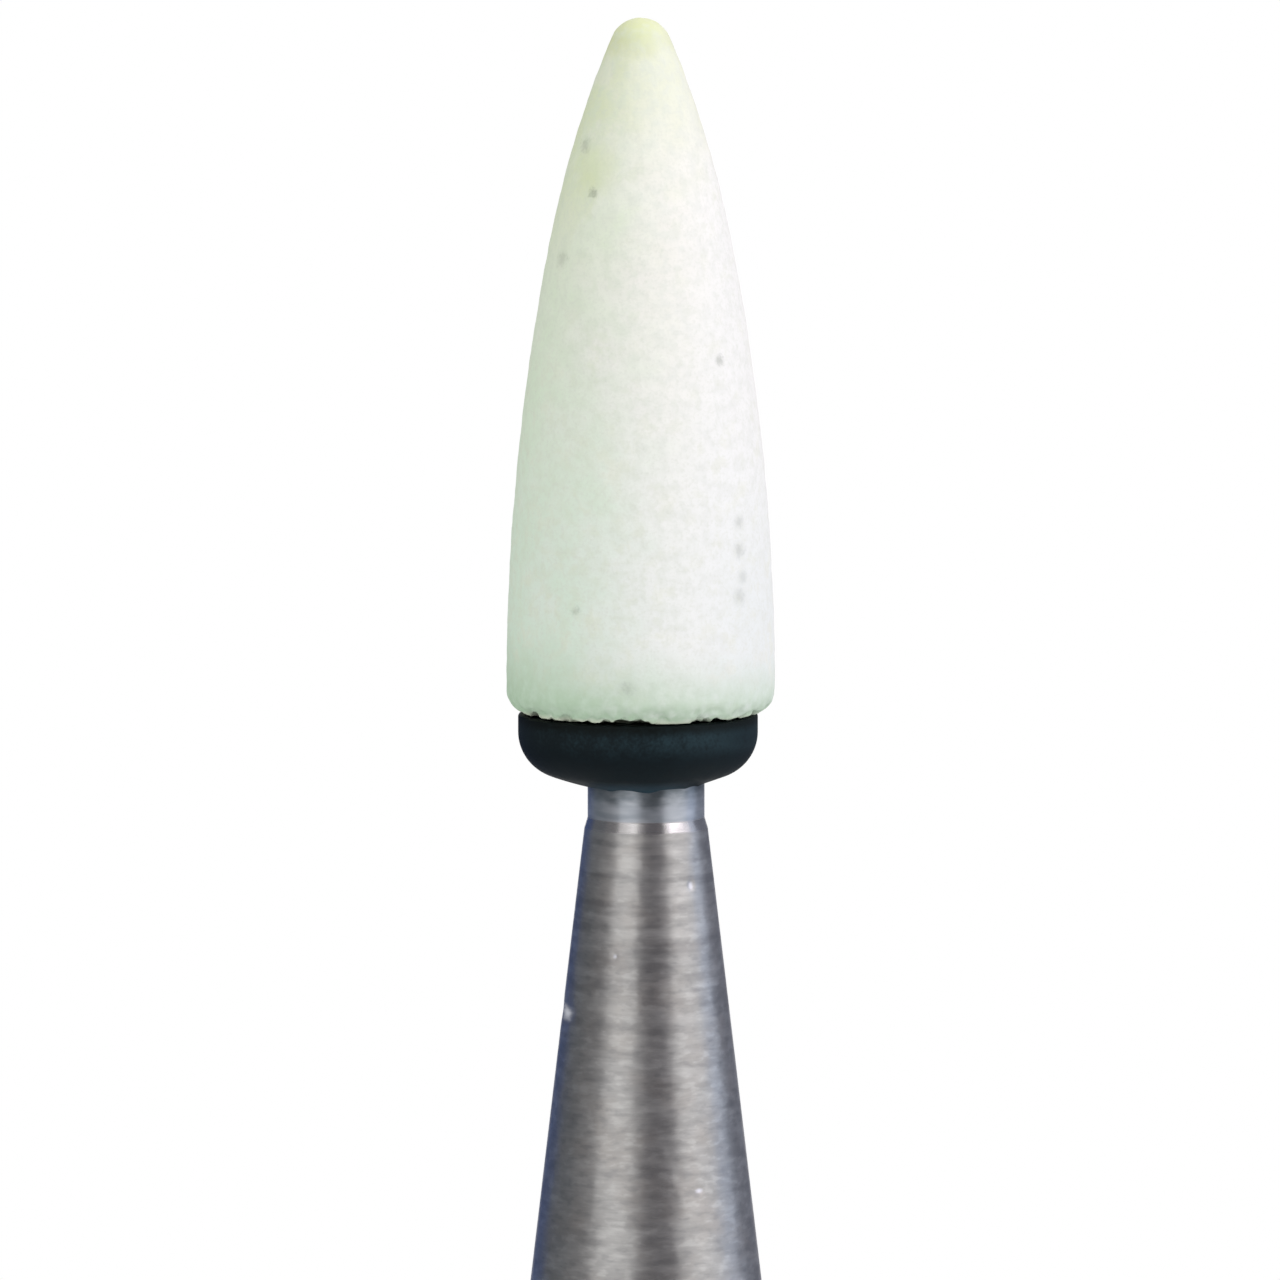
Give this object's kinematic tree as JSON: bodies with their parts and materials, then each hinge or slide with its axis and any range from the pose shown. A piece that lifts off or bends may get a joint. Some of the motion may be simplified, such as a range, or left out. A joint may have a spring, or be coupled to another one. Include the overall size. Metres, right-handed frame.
{
  "type": "mounted point",
  "caption": "Flame-shaped white grinding stone cemented to a turned steel shank with a slim tapered neck, for fine grinding and polishing in a straight handpiece.",
  "frame": {"origin": "centre of the flat butt of the shank, on the shank's axis", "axes": "+Z along the shank from the butt to the tip of the stone; -X the way the stone is cemented off the axis"},
  "size_m": [0.0025, 0.0024, 0.0445],
  "materials": {
    "white_abrasive": "fine-grained, matt",
    "dark_bond": "satin",
    "turned_steel": "fine turned lines round the axis"
  },
  "bodies": {
    "root": {"grinding_stone": "white_abrasive", "bond_bead": "dark_bond", "shank": "turned_steel"}
  },
  "joints": []
}
